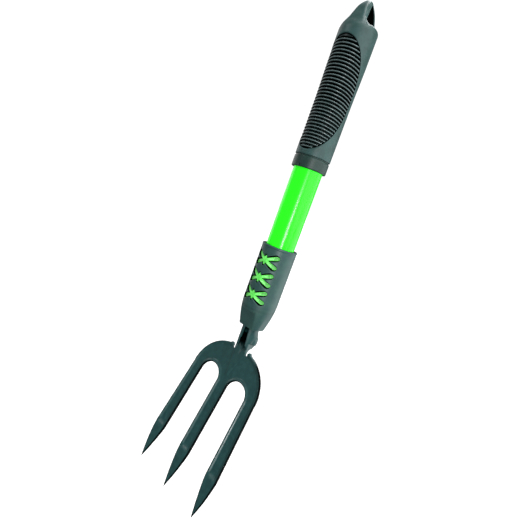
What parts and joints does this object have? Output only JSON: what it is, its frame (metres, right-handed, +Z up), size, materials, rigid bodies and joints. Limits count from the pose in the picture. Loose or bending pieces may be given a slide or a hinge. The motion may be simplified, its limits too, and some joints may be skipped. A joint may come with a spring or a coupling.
{
  "type": "garden hand fork",
  "caption": "Mid-length garden hand fork: pressed steel tines on a rolled neck, laced ferrule, bright tube and ribbed grip with a hang hole.",
  "frame": {"origin": "middle of the hang hole in the grip's loop, on the tool's axis", "axes": "+Z up the shaft from the tines to the hang loop, -Y the front, towards which the tines lean and where the ribs and lacing are, +X across the tines"},
  "size_m": [0.0866, 0.0583, 0.4326],
  "materials": {
    "tube_paint": "glossy fluorescent green enamel on steel tube",
    "pin_steel": "plain rivet steel",
    "bush_plastic": "as moulded",
    "grip_plastic": "matte slate-green moulded plastic, faintly grained",
    "grip_rubber": "soft black ribbed rubber",
    "lace_green": "satin green moulding",
    "head_paint": "dark green-grey hammered enamel on pressed steel"
  },
  "bodies": {
    "root": {"shaft_tube": "tube_paint", "tang_pin": "pin_steel", "tang_bush": "bush_plastic", "grip_body": "grip_plastic", "grip_panel": "grip_rubber", "grip_collar": "grip_plastic", "ferrule": "grip_plastic", "lace_insert": "lace_green", "fork_head": "head_paint"}
  },
  "joints": []
}
